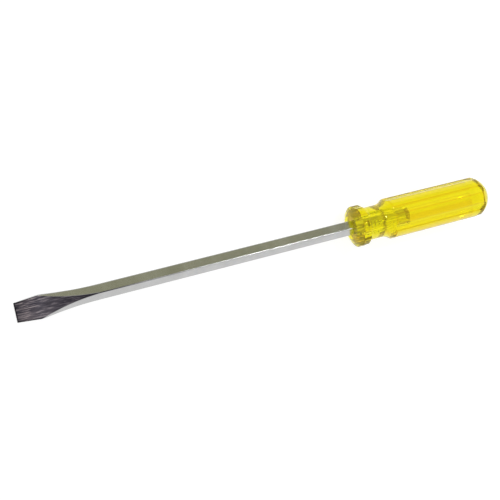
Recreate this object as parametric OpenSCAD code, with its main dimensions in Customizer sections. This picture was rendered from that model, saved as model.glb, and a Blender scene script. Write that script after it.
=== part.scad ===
// Slotted screwdriver with a square shank and a clear acetate handle.
// The origin is the middle of the tip's end face. +X runs back along the axis to the handle,
// and +Z is the side of the tip's upper ground flat, so the shank's faces lie at 45 degrees.

/* [Shank] */
// Length of steel in front of the handle
blade_len = 254; // [150:1:300]
// Size of the square shank across its flats (5/16 inch)
bar_size = 7.94; // [7.75:0.01:8.4]
// Distance across the shank's corners, which are broken by narrow flats
corner_size = 10.82; // [9.2:0.01:11]

/* [Tip] */
// Width of the tip's end
tip_w = 13.1; // [8:0.1:15]
// Thickness of the tip's end
tip_t = 1.6; // [1:0.1:2.5]
// Width of the blade where it is widest
flare_w = 16.2; // [15.2:0.1:18]
// Distance from the tip's end to the widest point
flare_at = 17.7; // [10:0.1:24]
// Distance from the tip's end to where the ground flats run out on the shank's corners
flat_len = 57.6; // [45:0.1:80]
// Distance from the tip's end to where the shank's own faces begin to spread
spread_len = 50; // [42:0.5:60]
// Half the distance between the spread faces where the blade is widest
spread_half = 6.7; // [6:0.1:7.4]

/* [Tang] */
// Length of the tang inside the handle
tang_len = 43.5; // [30:0.5:60]
// Distance from the handle's front to the first tooth
tooth_start = 11.4; // [5:0.1:20]
// Number of teeth on each corner of the tang
tooth_count = 6; // [3:1:8]
// Spacing of the teeth
tooth_pitch = 1.85; // [1.2:0.05:2.5]
// Depth of the notches between the teeth
tooth_depth = 0.7; // [0.3:0.05:1]

/* [Handle] */
// Length of the handle
handle_len = 122.6; // [100:0.2:150]
// Diameter of the handle over its lands
grip_d = 31.1; // [28:0.1:36]
// Number of flutes, and of lands between them
flute_count = 7; // [5:1:10]
// Depth of each flute below the lands
flute_depth = 0.9; // [0.5:0.05:1.2]
// Diameter of the flat middle of the collar's front
collar_face_d = 18; // [14:0.5:24]
// Distance from the handle's front to where its bevel meets the collar's rim
collar_bevel = 3.6; // [2:0.1:5]
// Distance from the handle's front to the back of the collar's rim
collar_len = 9; // [7:0.1:10]
// Diameter of the turned neck
neck_d = 24.9; // [20:0.1:26]
// Distance from the handle's front to the neck
neck_start = 11.6; // [11:0.1:15]
// Distance from the handle's front to the start of the shoulder
neck_end = 23.2; // [18:0.1:26]
// Distance from the handle's front to the full diameter of the grip
grip_start = 32; // [29:0.1:36]
// Height of the domed end
dome_h = 10.6; // [6:0.2:14]
// Diameter of the blind bore that the tang is pressed into
bore_d = 9.2; // [8.4:0.1:10.4]
// Depth of the blind bore
bore_depth = 47; // [45:0.5:64]

/* [Hidden] */
$fn = 96;
bar_half = bar_size / 2;
corner_reach = corner_size / 2;
steel_len = blade_len + tang_len;
grip_r = grip_d / 2;
neck_r = neck_d / 2;
grip_end = handle_len - dome_h;
dome_r = (grip_r * grip_r + dome_h * dome_h) / (2 * dome_h);
shoulder_rise = grip_r - neck_r;
shoulder_run = grip_start - neck_end;
// The shoulder is an arc that leaves the neck's line tangentially.
shoulder_r = (shoulder_run * shoulder_run + shoulder_rise * shoulder_rise) / (2 * shoulder_rise);
// Lands and flutes share the circle evenly, so a flute's edges are a quarter pitch from its middle.
flute_half_angle = 90 / flute_count;
flute_floor = grip_r - flute_depth;
flute_centre = (grip_r * grip_r - flute_floor * flute_floor)
             / (2 * (grip_r * cos(flute_half_angle) - flute_floor));
flute_r = flute_centre - flute_floor;
// How far a cutting shape runs past what it cuts.
spare = 1;

// An outline that runs straight at height "level" on both sides of the axis and, nearer the tip
// than "from", flares along an arc that has risen by "rise" at "to".
module flared(from, to, level, rise) {
    run = from - to;
    radius = (run * run + rise * rise) / (2 * rise);
    difference() {
        translate([0, -flare_w]) square([steel_len, 2 * flare_w]);
        for (side = [0, 1]) mirror([0, side, 0]) {
            translate([from, level]) square([steel_len, flare_w]);
            translate([from, level + radius]) circle(r = radius, $fn = 720);
        }
    }
}

// Seen from above: straight ground sides to the widest point, then a smooth flare to the shank.
module top_outline() {
    end_half = tip_w / 2 + steel_len * (flare_w - tip_w) / (2 * flare_at);
    intersection() {
        flared(flat_len, flare_at, corner_reach, flare_w / 2 - corner_reach);
        polygon([
            [0, -tip_w / 2],
            [steel_len, -end_half],
            [steel_len, end_half],
            [0, tip_w / 2]
        ]);
    }
}

// Seen from the side: a plain wedge between the two ground flats, then the shank.
module side_outline() {
    polygon([
        [0, -tip_t / 2],
        [flat_len, -corner_reach],
        [steel_len, -corner_reach],
        [steel_len, corner_reach],
        [flat_len, corner_reach],
        [0, tip_t / 2]
    ]);
}

// Seen square to a shank face: the face lies flat and then spreads towards the tip.
module spread_outline() {
    flared(spread_len, flare_at, bar_half, spread_half - bar_half);
}

// An outline drawn along the axis, thickened evenly to both sides and turned about the axis.
module slab(angle, depth) {
    rotate([angle, 0, 0]) linear_extrude(height = depth, center = true) children();
}

// The shank's section: a square on its corner, with each corner broken by a narrow flat.
module bar_section() {
    intersection() {
        rotate(45) square(bar_size, center = true);
        square(2 * corner_reach, center = true);
    }
}

// The room that the tang's corners take up in the plastic round the bore.
module tang_pocket() {
    translate([blade_len - spare, 0, 0]) rotate([0, 90, 0])
        linear_extrude(height = tang_len + spare) bar_section();
}

// One row of saw-tooth notches, drawn on the corner that points along +Z.
module tooth_row() {
    first = blade_len + tooth_start;
    for (i = [0 : tooth_count - 1]) {
        polygon([
            [first + i * tooth_pitch, corner_reach + spare],
            [first + i * tooth_pitch, corner_reach - tooth_depth],
            [first + (i + 0.25) * tooth_pitch, corner_reach - tooth_depth],
            [first + (i + 0.75) * tooth_pitch, corner_reach + spare]
        ]);
    }
}

module blade() color("silver") {
    difference() {
        intersection() {
            slab(0, 4 * bar_size) top_outline();
            slab(90, 4 * bar_size) side_outline();
            slab(45, 4 * bar_size) spread_outline();
            slab(135, 4 * bar_size) spread_outline();
        }
        for (corner = [0 : 90 : 270]) slab(90 + corner, bar_size) tooth_row();
    }
}

// Half of the handle's turned outline: x is the radius and y the distance from its front.
module turned_profile() {
    difference() {
        union() {
            square([grip_r, grip_end]);
            intersection() {
                translate([0, handle_len - dome_r]) circle(r = dome_r);
                translate([0, grip_end]) square([grip_r, dome_h]);
            }
        }
        polygon([
            [collar_face_d / 2, 0],
            [grip_r, collar_bevel],
            [grip_r + spare, collar_bevel],
            [grip_r + spare, -spare],
            [collar_face_d / 2, -spare]
        ]);
        polygon([
            [grip_r + spare, collar_len],
            [grip_r, collar_len],
            [neck_r, neck_start],
            [neck_r, neck_end],
            [grip_r + spare, neck_end]
        ]);
        intersection() {
            translate([neck_r + shoulder_r, neck_end]) circle(r = shoulder_r);
            translate([neck_r, neck_end]) square([shoulder_rise + spare, shoulder_run + spare]);
        }
    }
}

// The grip's cross section: a circle with shallow round flutes between its lands.
module fluted_section() {
    difference() {
        circle(r = grip_r);
        for (i = [0 : flute_count - 1]) {
            rotate((i + 0.5) * 360 / flute_count) translate([flute_centre, 0]) circle(r = flute_r);
        }
    }
}

module handle() color("gold", 0.6) {
    difference() {
        translate([blade_len, 0, 0]) rotate([0, 90, 0]) rotate(180) intersection() {
            rotate_extrude() turned_profile();
            linear_extrude(height = handle_len) fluted_section();
        }
        translate([blade_len - spare, 0, 0]) rotate([0, 90, 0])
            cylinder(d = bore_d, h = bore_depth + spare);
        tang_pocket();
    }
}

blade();
handle();
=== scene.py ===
import math

import bpy
from mathutils import Matrix, Vector


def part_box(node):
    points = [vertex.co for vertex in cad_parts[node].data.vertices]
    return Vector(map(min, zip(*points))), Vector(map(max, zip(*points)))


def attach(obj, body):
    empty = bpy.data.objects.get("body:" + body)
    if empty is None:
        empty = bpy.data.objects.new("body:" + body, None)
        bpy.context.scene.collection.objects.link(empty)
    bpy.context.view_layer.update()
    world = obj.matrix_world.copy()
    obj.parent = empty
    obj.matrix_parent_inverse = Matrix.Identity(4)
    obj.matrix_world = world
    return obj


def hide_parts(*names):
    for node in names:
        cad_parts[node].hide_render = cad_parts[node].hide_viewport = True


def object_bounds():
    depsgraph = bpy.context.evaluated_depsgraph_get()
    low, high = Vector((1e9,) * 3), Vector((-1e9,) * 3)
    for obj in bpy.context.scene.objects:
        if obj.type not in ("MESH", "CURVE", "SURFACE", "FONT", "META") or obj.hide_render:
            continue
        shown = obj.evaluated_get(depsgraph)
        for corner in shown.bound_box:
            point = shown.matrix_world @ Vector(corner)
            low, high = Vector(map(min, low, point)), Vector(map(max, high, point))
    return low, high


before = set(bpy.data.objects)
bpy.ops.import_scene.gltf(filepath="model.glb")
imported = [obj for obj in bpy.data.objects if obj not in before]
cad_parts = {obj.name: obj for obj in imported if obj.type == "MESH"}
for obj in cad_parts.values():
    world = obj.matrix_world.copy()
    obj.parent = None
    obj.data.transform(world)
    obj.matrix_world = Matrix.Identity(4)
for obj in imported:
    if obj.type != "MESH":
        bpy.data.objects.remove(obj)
cad_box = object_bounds()

# All sizes here are millimetres until mm() turns them into Blender's metres.
BLADE_BOX = [[v * 1000 for v in corner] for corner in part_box("blade")]
HANDLE_BOX = [[v * 1000 for v in corner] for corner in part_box("handle")]

# Shank and tip.
BAR_SIZE = 7.94
CORNER_REACH = 5.41
STEEL_LEN = BLADE_BOX[1][0]
FLARE_HALF = BLADE_BOX[1][1]
TIP_HALF_W = 6.55
TIP_HALF_T = 0.8
FLARE_AT = 17.7
FLAT_LEN = 57.6
# Up to this distance a painted dark reflection runs along the corners behind the ground flats.
CORNER_REFLECTION_END = 125
SPREAD_LEN = 50
SPREAD_HALF = 6.7
EDGE_SOFTNESS = 0.4
TIP_EDGE_SOFTNESS = 0.18

# Teeth on the tang's corners.
HANDLE_FRONT = HANDLE_BOX[0][0]
TOOTH_START = HANDLE_FRONT + 11.4
TOOTH_COUNT = 6
TOOTH_PITCH = 1.85
TOOTH_DEPTH = 0.7

# Handle, with x counted from its front.
HANDLE_LEN = HANDLE_BOX[1][0] - HANDLE_FRONT
GRIP_R = HANDLE_BOX[1][2]
FLUTES = 7
FLUTE_DEPTH = 0.9
FACE_R = 9
BEVEL_END = 3.6
COLLAR_END = 9
NECK_START = 11.6
NECK_END = 23.2
NECK_R = 12.45
GRIP_START = 32
DOME_H = 10.6
BORE_R = 4.6
BORE_DEPTH = 47
FILLET = 0.3

# How finely the meshes are made.
BLADE_POINTS = 208
POINTS_PER_FLUTE = 44
PROFILE_GAP = 0.06
TIP_CHAMFER = 0.12
TANG_CHAMFER = 0.25

# Colours of the steel, from dark to light where they are mottled.
PLATED = ((0.46, 0.46, 0.455), (0.53, 0.53, 0.53))
# The tang's lighter grey is painted light, standing for light that reaches it through the handle.
PLATED_TANG_LIT = ((0.86, 0.88, 0.84), (0.95, 0.95, 0.93))
STREAKS = ((0.035, 0.033, 0.042), (0.12, 0.11, 0.125), (0.50, 0.44, 0.43))
STAIN = ((0.06, 0.058, 0.078), (0.22, 0.195, 0.205))
# Painted shade, darkening the tip's end and its ground sides.
TIP_EDGE_SHADE = (0.12, 0.11, 0.13)

# Colours of the plastic. The tint is the colour that light keeps on its way through.
CLEAR_YELLOW = (0.98, 0.93, 0.05)
# The amber is a painted glint, laid as lines along the flutes' edges.
AMBER_GLINT = (0.90, 0.66, 0.02)
TINT = (0.9955, 0.988, 0.0)
TINT_DENSITY = 330


def mm(value):
    return value * 0.001


def soft_min(a, b, width):
    """The smaller of two heights, blended where they cross so that the edge is rounded."""
    near = max(width - abs(a - b), 0) / width
    return min(a, b) - near * near * width / 4


def arc_radius(run, rise):
    return (run * run + rise * rise) / (2 * rise)


# ---------------------------------------------------------------- meshes


def loft(name, rings, closed_ends):
    """A mesh from rings of equally many points, with a pole at each end where asked."""
    count = len(rings[0])
    verts = [p for ring in rings for p in ring]
    faces = []
    for i in range(len(rings) - 1):
        for j in range(count):
            k = (j + 1) % count
            a, b = i * count, (i + 1) * count
            faces.append((a + j, a + k, b + k, b + j))
    for end, centre in closed_ends:
        pole = len(verts)
        verts.append(centre)
        base = 0 if end == "first" else (len(rings) - 1) * count
        for j in range(count):
            k = (j + 1) % count
            tri = (base + j, pole, base + k) if end == "first" else (base + j, base + k, pole)
            faces.append(tri)
    mesh = bpy.data.meshes.new(name)
    mesh.from_pydata([Vector(v) * 0.001 for v in verts], [], faces)
    mesh.validate()
    mesh.update()
    mesh.shade_smooth()
    obj = bpy.data.objects.new(name, mesh)
    bpy.context.scene.collection.objects.link(obj)
    return obj


def flare(x, start, level, widest):
    """Half size at x of an outline that leaves level at start along an arc to widest."""
    if x >= start:
        return level
    radius = arc_radius(start - FLARE_AT, widest - level)
    run = start - x
    return level + radius - math.sqrt(radius * radius - run * run)


def blade_limits(x):
    """How far the steel reaches at x: across its width, its thickness and its 45 degree faces."""
    ground = TIP_HALF_W + x * (FLARE_HALF - TIP_HALF_W) / FLARE_AT
    width = soft_min(flare(x, FLAT_LEN, CORNER_REACH, FLARE_HALF), ground, 0.15)
    wedge = TIP_HALF_T + x * (CORNER_REACH - TIP_HALF_T) / FLAT_LEN
    thick = soft_min(wedge, CORNER_REACH, 0.05)
    spread = flare(x, SPREAD_LEN, BAR_SIZE / 2, SPREAD_HALF)
    return width, thick, spread


def notch(x):
    """Depth of the saw-tooth notch at x."""
    at = (x - TOOTH_START) / TOOTH_PITCH
    if at < 0 or at >= TOOTH_COUNT:
        return 0
    part = at - math.floor(at)
    if part < 0.25:
        return TOOTH_DEPTH
    return max(TOOTH_DEPTH * (1 - (part - 0.25) / 0.5 * 2), 0)


def blade_ring(x, shrink=0.0):
    """The steel's outline at x, with softly rounded edges."""
    width, thick, spread = blade_limits(x)
    cut = notch(x)
    grown = min(x / FLAT_LEN, 1)
    soft = TIP_EDGE_SOFTNESS + (EDGE_SOFTNESS - TIP_EDGE_SOFTNESS) * grown
    ring = []
    for j in range(BLADE_POINTS):
        turn = 2 * math.pi * (j + 0.5) / BLADE_POINTS
        angle = math.atan2(thick * math.sin(turn), width * math.cos(turn))
        c, s = math.cos(angle), math.sin(angle)
        far = 99.0
        for reach, across in (
            (width - cut, abs(c)),
            (thick - cut, abs(s)),
            (spread, abs(c + s) * math.sqrt(0.5)),
            (spread, abs(c - s) * math.sqrt(0.5)),
        ):
            if across > 0.01:
                far = soft_min(far, reach / across, soft)
        far -= shrink
        ring.append((x, far * c, far * s))
    return ring


def blade_stations():
    """Places along the blade: close together where its section changes."""
    places = [TIP_CHAMFER, 0.3, 0.6, 1.0, 1.6, 2.4]
    places += [2.4 + 0.5 * i for i in range(1, 114)]
    places += [60 + 12 * i for i in range(0, 17)]
    places += [HANDLE_FRONT + v for v in (0, 3, 6, 9)]
    for i in range(TOOTH_COUNT):
        start = TOOTH_START + i * TOOTH_PITCH
        for part in (-0.02, 0.0, 0.24, 0.38, 0.5):
            places.append(start + part * TOOTH_PITCH)
    places += [TOOTH_START + TOOTH_COUNT * TOOTH_PITCH + v for v in (1, 8, 16)]
    places += [STEEL_LEN - v for v in (1.0, 0.5, 0.25)]
    return sorted(places)


def make_blade():
    rings = [blade_ring(0.0, TIP_CHAMFER)]
    rings += [blade_ring(x) for x in blade_stations()]
    rings.append(blade_ring(STEEL_LEN, TANG_CHAMFER))
    ends = [("first", (0, 0, 0)), ("last", (STEEL_LEN, 0, 0))]
    return loft("driver_blade", rings, ends)


def resample(points, gap):
    """Points at an even gap along a polyline."""
    out = [points[0]]
    for (x0, r0), (x1, r1) in zip(points, points[1:]):
        length = math.hypot(x1 - x0, r1 - r0)
        steps = max(1, round(length / gap))
        out += [
            (x0 + (x1 - x0) * i / steps, r0 + (r1 - r0) * i / steps) for i in range(1, steps + 1)
        ]
    return out


def rounded(points, reach):
    """Rounds the corners of an evenly sampled line by averaging over reach points each side."""
    out = []
    last = len(points) - 1
    for i in range(len(points)):
        n = min(reach, i, last - i)
        near = points[i - n : i + n + 1]
        out.append((sum(p[0] for p in near) / len(near), sum(p[1] for p in near) / len(near)))
    return out


def turned_profile():
    """The handle's half outline, from the middle of the bore's end, out over the front, to the dome."""
    shoulder = arc_radius(GRIP_START - NECK_END, GRIP_R - NECK_R)
    cove = []
    for i in range(1, 25):
        x = NECK_END + (GRIP_START - NECK_END) * i / 24
        rise = shoulder - math.sqrt(shoulder * shoulder - (x - NECK_END) ** 2)
        cove.append((x, NECK_R + rise))
    dome = arc_radius(GRIP_R, DOME_H)
    widest = math.asin(GRIP_R / dome)
    cap = []
    for i in range(1, 49):
        angle = widest * (1 - i / 48)
        cap.append((HANDLE_LEN - dome + dome * math.cos(angle), dome * math.sin(angle)))
    return (
        [(BORE_DEPTH, 0.05), (BORE_DEPTH, BORE_R), (0, BORE_R), (0, FACE_R), (BEVEL_END, GRIP_R)]
        + [(COLLAR_END, GRIP_R), (NECK_START, NECK_R), (NECK_END, NECK_R)]
        + cove
        + [(HANDLE_LEN - DOME_H, GRIP_R)]
        + cap[:-1]
        + [(HANDLE_LEN, 0.05)]
    )


def thinned(points):
    """Keeps what the shape needs: bends, and places where the flutes run out."""
    kept = [points[0]]
    for here, after in zip(points[1:], points[2:]):
        x, r = here
        gap = math.hypot(x - kept[-1][0], r - kept[-1][1])
        first = math.atan2(r - kept[-1][1], x - kept[-1][0])
        second = math.atan2(after[1] - r, after[0] - x)
        bend = abs((second - first + math.pi) % (2 * math.pi) - math.pi)
        crossing = GRIP_R - FLUTE_DEPTH - 0.5 < r < GRIP_R - 0.01
        limit = 0.18 if crossing else 0.9 if r < GRIP_R - 0.01 else 4.0
        if gap >= limit or (bend > 0.03 and gap >= 0.12):
            kept.append(here)
    kept.append(points[-1])
    return kept


def fluted_radius(angle):
    """Reach of the fluted section at an angle: a land's circle or a flute's hollow."""
    floor = GRIP_R - FLUTE_DEPTH
    edge = math.pi / 2 / FLUTES
    centre = (GRIP_R**2 - floor**2) / (2 * (GRIP_R * math.cos(edge) - floor))
    radius = centre - floor
    pitch = 2 * math.pi / FLUTES
    # A land is centred on +Z, so the nearest flute is half a pitch away.
    off = (angle - math.pi / 2) % pitch - pitch / 2
    inside = radius**2 - (centre * math.sin(off)) ** 2
    if inside <= 0:
        return GRIP_R
    hollow = centre * math.cos(off) - math.sqrt(inside)
    return min(soft_min(GRIP_R, hollow, FILLET * 0.5), GRIP_R)


def make_handle():
    profile = thinned(rounded(resample(turned_profile(), PROFILE_GAP), 6))
    steps = FLUTES * POINTS_PER_FLUTE
    angles = [2 * math.pi * j / steps + math.pi / 2 for j in range(steps)]
    reach = [fluted_radius(a) for a in angles]
    rings = []
    for x, r in profile:
        ring = []
        for angle, far in zip(angles, reach):
            at = soft_min(r, far, FILLET * 0.6) if r > NECK_R else r
            at = min(at, r) if r < GRIP_R - 0.02 else min(at, far)
            ring.append((HANDLE_FRONT + x, at * math.cos(angle), at * math.sin(angle)))
        rings.append(ring)
    ends = [
        ("first", (HANDLE_FRONT + BORE_DEPTH, 0, 0)),
        ("last", (HANDLE_FRONT + HANDLE_LEN, 0, 0)),
    ]
    return loft("driver_handle", rings, ends)


# ---------------------------------------------------------------- materials


class Nodes:
    """A short way to write a node tree."""

    def __init__(self, name):
        self.material = bpy.data.materials.new(name)
        self.material.use_nodes = True
        self.tree = self.material.node_tree
        self.bsdf = self.tree.nodes["Principled BSDF"]
        self.output = self.tree.nodes["Material Output"]

    def add(self, kind, **settings):
        node = self.tree.nodes.new(kind)
        for key, value in settings.items():
            setattr(node, key, value)
        return node

    def link(self, source, target):
        self.tree.links.new(source, target)

    def math(self, operation, a, b=0.0, c=0.0, clamp=False):
        node = self.add("ShaderNodeMath", operation=operation, use_clamp=clamp)
        for socket, value in zip(node.inputs, (a, b, c)):
            if isinstance(value, (int, float)):
                socket.default_value = value
            else:
                self.link(value, socket)
        return node.outputs[0]

    def axis(self, letter):
        """One of the object's own coordinates, in metres."""
        where = self.add("ShaderNodeTexCoord")
        split = self.add("ShaderNodeSeparateXYZ")
        self.link(where.outputs["Object"], split.inputs[0])
        return split.outputs[letter]

    def position(self, scale):
        """The object's own coordinates, in metres, stretched by scale."""
        where = self.add("ShaderNodeTexCoord")
        mapping = self.add("ShaderNodeMapping")
        mapping.inputs["Scale"].default_value = scale
        self.link(where.outputs["Object"], mapping.inputs["Vector"])
        return mapping.outputs[0]

    def noise(self, scale, detail=3.0, roughness=0.5, stretch=(1, 1, 1)):
        node = self.add("ShaderNodeTexNoise")
        node.inputs["Scale"].default_value = scale
        node.inputs["Detail"].default_value = detail
        node.inputs["Roughness"].default_value = roughness
        self.link(self.position(stretch), node.inputs["Vector"])
        return node.outputs["Fac"]

    def ramp(self, factor, stops):
        node = self.add("ShaderNodeValToRGB")
        ramp = node.color_ramp
        while len(ramp.elements) < len(stops):
            ramp.elements.new(0.5)
        for element, (at, colour) in zip(ramp.elements, stops):
            element.position = at
            element.color = (*colour, 1)
        self.link(factor, node.inputs["Fac"])
        return node.outputs["Color"]

    def mix(self, factor, a, b):
        node = self.add("ShaderNodeMix", data_type="RGBA")
        self.link(factor, node.inputs["Factor"])
        self.link(a, node.inputs["A"])
        self.link(b, node.inputs["B"])
        return node.outputs["Result"]

    def multiply(self, a, b):
        node = self.add("ShaderNodeMix", data_type="RGBA", blend_type="MULTIPLY")
        node.inputs["Factor"].default_value = 1.0
        self.link(a, node.inputs["A"])
        self.link(b, node.inputs["B"])
        return node.outputs["Result"]

    def remap(self, value, low, high, to_low, to_high):
        node = self.add("ShaderNodeMapRange")
        self.link(value, node.inputs["Value"])
        for key, number in (
            ("From Min", low), ("From Max", high), ("To Min", to_low), ("To Max", to_high)
        ):
            node.inputs[key].default_value = number
        return node.outputs["Result"]

    def bump(self, height, strength, distance):
        node = self.add("ShaderNodeBump")
        node.inputs["Strength"].default_value = strength
        node.inputs["Distance"].default_value = distance
        self.link(height, node.inputs["Height"])
        self.link(node.outputs["Normal"], self.bsdf.inputs["Normal"])


def flat_and_corner_reflection_mask(n):
    """1 on the ground flats, and fading out along the corners behind them as a painted dark reflection;
    0 on the plated faces.
    """
    slope = (CORNER_REACH - TIP_HALF_T) / FLAT_LEN
    wedge = n.math("MULTIPLY_ADD", n.axis("X"), slope, mm(TIP_HALF_T))
    height = n.math("MINIMUM", wedge, mm(CORNER_REACH - 0.12))
    short = n.math("SUBTRACT", height, n.math("ABSOLUTE", n.axis("Z")))
    on_plane = n.remap(short, mm(0.10), mm(0.03), 0.0, 1.0)
    ahead = n.remap(n.axis("X"), mm(CORNER_REFLECTION_END), mm(FLAT_LEN), 0.0, 1.0)
    return n.math("MULTIPLY", on_plane, ahead, clamp=True)


def tip_edge(n):
    """Mask of the painted shade on the tip: 1 at its end and along its two ground sides, 0 about a
    millimetre inside them.
    """
    end = n.remap(n.axis("X"), mm(1.1), mm(0.3), 0.0, 1.0)
    slope = (FLARE_HALF - TIP_HALF_W) / FLARE_AT
    edge = n.math("MULTIPLY_ADD", n.axis("X"), slope, mm(TIP_HALF_W))
    inside = n.math("SUBTRACT", edge, n.math("ABSOLUTE", n.axis("Y")))
    side = n.remap(inside, mm(0.8), mm(0.1), 0.0, 1.0)
    return n.math("MAXIMUM", end, side, clamp=True)


def plated_colour(n, bands):
    """The plating's mottled grey, with painted light making it lighter where the tang sits in the
    handle.
    """
    exposed = n.ramp(bands, [(0.3, PLATED[0]), (0.7, PLATED[1])])
    tang = n.ramp(bands, [(0.3, PLATED_TANG_LIT[0]), (0.7, PLATED_TANG_LIT[1])])
    in_handle = n.remap(n.axis("X"), mm(HANDLE_FRONT), mm(HANDLE_FRONT + 1), 0.0, 1.0)
    return n.mix(in_handle, exposed, tang)


def ground_colour(n, grind):
    """The ground flats: streaks and stains, with painted light and shade along them, lightest near the
    tip, and painted shade on the tip's end and sides.
    """
    streaks = n.ramp(grind, [(0.38, STREAKS[0]), (0.5, STREAKS[1]), (0.62, STREAKS[2])])
    patches = n.noise(120, 3, 0.6, (0.5, 1, 1))
    stain = n.ramp(patches, [(0.38, STAIN[0]), (0.62, STAIN[1])])
    ground = n.mix(n.remap(n.noise(60, 2), 0.3, 0.7, 0.1, 0.5), streaks, stain)
    # Painted light and shade along the flat: lightest near the tip, darker at the tip's very end and
    # further back.
    shade = n.ramp(n.remap(n.axis("X"), 0.0, mm(FLAT_LEN), 0.0, 1.0), [
        (0.0, (0.5, 0.5, 0.54)),
        (0.12, (1.2, 1.15, 1.15)),
        (0.27, (1.15, 1.15, 1.2)),
        (0.5, (0.6, 0.6, 0.66)),
        (0.8, (0.36, 0.36, 0.4)),
    ])
    # Painted shade along the tip's end and sides.
    edge_shade = n.ramp(tip_edge(n), [(0.0, (1, 1, 1)), (1.0, TIP_EDGE_SHADE)])
    return n.multiply(n.multiply(ground, shade), edge_shade)


def steel_material():
    """Dull plated bar, with painted light making the tang brighter, bare lengthwise ground flats at the
    tip, and a painted dark reflection along the corners behind them.
    """
    n = Nodes("plated_and_ground_steel")
    # The ground flats, plus the painted dark reflection along the corners.
    mask = flat_and_corner_reflection_mask(n)
    bands = n.noise(95, 4, 0.6, (1, 0.35, 0.35))
    grind = n.noise(900, 5, 0.65, (0.07, 1, 1))
    plated = plated_colour(n, bands)
    ground = ground_colour(n, grind)
    n.link(n.mix(mask, plated, ground), n.bsdf.inputs["Base Color"])
    shine = n.remap(bands, 0.3, 0.7, 0.16, 0.21)
    coarse = n.remap(grind, 0.3, 0.7, 0.30, 0.48)
    rough = n.add("ShaderNodeMix", data_type="FLOAT")
    n.link(mask, rough.inputs[0])
    n.link(shine, rough.inputs[2])
    n.link(coarse, rough.inputs[3])
    n.link(rough.outputs[0], n.bsdf.inputs["Roughness"])
    n.bsdf.inputs["Metallic"].default_value = 1.0
    n.bump(n.math("MULTIPLY", grind, mask), 0.35, mm(0.06))
    return n.material


def handle_radius(n):
    """Distance from the tool's axis, in metres."""
    square = n.math("MULTIPLY", n.axis("Y"), n.axis("Y"))
    return n.math("SQRT", n.math("MULTIPLY_ADD", n.axis("Z"), n.axis("Z"), square))


def plastic_colour_and_glints(n):
    """Clear yellow, with painted amber glint lines just under the lands' height, where the edges are.
    """
    fall = n.math("SUBTRACT", mm(GRIP_R), handle_radius(n))
    return n.ramp(n.remap(fall, 0.0, mm(1.0), 0.0, 1.0), [
        (0.03, CLEAR_YELLOW), (0.1, AMBER_GLINT), (0.34, AMBER_GLINT), (0.5, CLEAR_YELLOW)
    ])


def acetate_material():
    """Clear yellow cellulose acetate, tinted through its depth, with a faintly rippled polish."""
    n = Nodes("clear_yellow_acetate")
    n.link(plastic_colour_and_glints(n), n.bsdf.inputs["Base Color"])
    n.bsdf.inputs["Transmission Weight"].default_value = 0.86
    n.bsdf.inputs["IOR"].default_value = 1.48
    n.bsdf.inputs["Specular IOR Level"].default_value = 0.35
    n.bsdf.inputs["Specular Tint"].default_value = (1.0, 0.93, 0.25, 1)
    wear = n.noise(260, 4, 0.6, (0.5, 1, 1))
    n.link(n.remap(wear, 0.35, 0.75, 0.015, 0.06), n.bsdf.inputs["Roughness"])
    ripple = n.noise(140, 2, 0.5, (0.25, 1, 1))
    n.bump(ripple, 0.08, mm(0.2))
    tint = n.add("ShaderNodeVolumeAbsorption")
    tint.inputs["Color"].default_value = (*TINT, 1)
    tint.inputs["Density"].default_value = TINT_DENSITY
    n.link(tint.outputs[0], n.output.inputs["Volume"])
    return n.material


def floor_material():
    """A white table that glows a little, so that shadows on it stay faint."""
    n = Nodes("white_table")
    n.bsdf.inputs["Base Color"].default_value = (0.3, 0.3, 0.3, 1)
    n.bsdf.inputs["Roughness"].default_value = 0.9
    n.bsdf.inputs["Specular IOR Level"].default_value = 0.0
    n.bsdf.inputs["Emission Color"].default_value = (1, 1, 1, 1)
    n.bsdf.inputs["Emission Strength"].default_value = 0.84
    return n.material


# ---------------------------------------------------------------- stage


# How the tool lies in the view: its tip leans towards the camera, its line climbs to the right,
# and the ground flat's normal is turned a little below the line of sight.
TILT = math.radians(22.6)
CLIMB = math.radians(14.15)
FLAT_TURN = math.radians(8.1)
LENS = 72
SENSOR = 36
SIGHT_DISTANCE = 713.7
SIGHT_X = 170.6
AIM_OFF_RIGHT = 0.55
AIM_OFF_UP = -2.31
WALL = (0.43, 0.43, 0.28)
BACKDROP = (0.93, 0.93, 0.93)


def view_axes():
    """The camera's right, up and backward directions in the row frame."""
    along = Vector((1, 0, 0))
    facing = Vector((0, math.sin(FLAT_TURN), math.cos(FLAT_TURN)))
    down = Vector((0, -math.cos(FLAT_TURN), math.sin(FLAT_TURN)))
    back = facing * math.cos(TILT) - along * math.sin(TILT)
    level = (along + back * math.sin(TILT)) / math.cos(TILT)
    right = level * math.cos(CLIMB) + down * math.sin(CLIMB)
    up = level * math.sin(CLIMB) - down * math.cos(CLIMB)
    return right, up, back


def make_camera():
    right, up, back = view_axes()
    target = Vector((SIGHT_X, 0, 0))
    place = target - right * AIM_OFF_RIGHT - up * AIM_OFF_UP + back * SIGHT_DISTANCE
    data = bpy.data.cameras.new("camera")
    data.lens = LENS
    data.sensor_width = SENSOR
    camera = bpy.data.objects.new("camera", data)
    turn = Matrix((right, up, back)).transposed().to_4x4()
    camera.matrix_world = Matrix.Translation(place * 0.001) @ turn
    bpy.context.scene.collection.objects.link(camera)
    bpy.context.scene.camera = camera


def make_floor():
    half = 3.0
    level = cad_box[0].z - 0.0002
    mesh = bpy.data.meshes.new("floor")
    corners = [(-half, -half, level), (half, -half, level), (half, half, level), (-half, half, level)]
    mesh.from_pydata(corners, [], [(0, 1, 2, 3)])
    floor = bpy.data.objects.new("floor", mesh)
    mesh.materials.append(floor_material())
    bpy.context.scene.collection.objects.link(floor)


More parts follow.
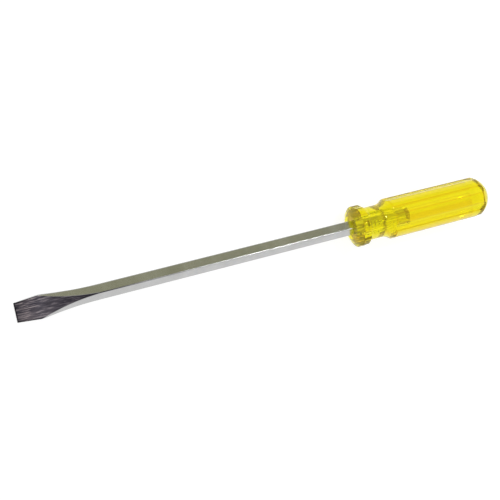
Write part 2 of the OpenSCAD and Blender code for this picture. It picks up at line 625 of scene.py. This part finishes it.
def softbox(name, direction, distance, size, power):
    """A square area light that looks at the middle of the tool."""
    middle = (cad_box[0] + cad_box[1]) / 2
    data = bpy.data.lights.new(name, "AREA")
    data.shape = "SQUARE"
    data.size = size
    data.energy = power
    lamp = bpy.data.objects.new(name, data)
    aim = direction.normalized()
    lamp.matrix_world = Matrix.Translation(middle + aim * distance) @ aim.to_track_quat(
        "Z", "Y"
    ).to_matrix().to_4x4()
    bpy.context.scene.collection.objects.link(lamp)


def make_lights():
    """A small softbox high over the handle's end."""
    softbox("key", Vector((0.413, 0.370, 0.832)), 1.37, 0.18, 4.0)


def mix_towards(tree, factor, source, colour):
    """A node tree's colour output, mixed by factor from source towards a plain colour."""
    node = tree.nodes.new("ShaderNodeMix")
    node.data_type = "RGBA"
    tree.links.new(factor, node.inputs["Factor"])
    tree.links.new(source, node.inputs["A"])
    node.inputs["B"].default_value = (*colour, 1)
    return node.outputs["Result"]


def make_world():
    """A white tent round the tool, dimmer overhead and with a grey olive wall on the +Y side.

    The wall only lights the tool and shows in its reflections: looked at directly, the world is
    a plain pale backdrop from every side.
    """
    world = bpy.data.worlds.new("tent")
    world.use_nodes = True
    tree = world.node_tree
    where = tree.nodes.new("ShaderNodeTexCoord")
    split = tree.nodes.new("ShaderNodeSeparateXYZ")
    height = tree.nodes.new("ShaderNodeValToRGB")
    side = tree.nodes.new("ShaderNodeMapRange")
    ray = tree.nodes.new("ShaderNodeLightPath")
    tree.links.new(where.outputs["Generated"], split.inputs[0])
    tree.links.new(split.outputs["Z"], height.inputs["Fac"])
    side.inputs["From Min"].default_value = 0.7
    side.inputs["From Max"].default_value = 0.86
    tree.links.new(split.outputs["Y"], side.inputs["Value"])
    tent = mix_towards(tree, side.outputs["Result"], height.outputs["Color"], WALL)
    seen = mix_towards(tree, ray.outputs["Is Camera Ray"], tent, BACKDROP)
    tree.links.new(seen, tree.nodes["Background"].inputs["Color"])
    stops = height.color_ramp
    stops.elements[0].position = 0.0
    stops.elements[0].color = (0.85, 0.85, 0.85, 1)
    stops.elements[1].position = 0.93
    stops.elements[1].color = (0.52, 0.52, 0.54, 1)
    middle = stops.elements.new(0.6)
    middle.color = (0.72, 0.72, 0.72, 1)
    bpy.context.scene.world = world


def dress(piece, node, material):
    """A piece stands for its CAD node, rides on its body and takes its finish."""
    piece.data.materials.append(material)
    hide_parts(node)
    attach(piece, "root")


make_camera()
make_floor()
make_lights()
make_world()
dress(make_blade(), "blade", steel_material())
dress(make_handle(), "handle", acetate_material())
bpy.context.scene.view_settings.view_transform = "Standard"
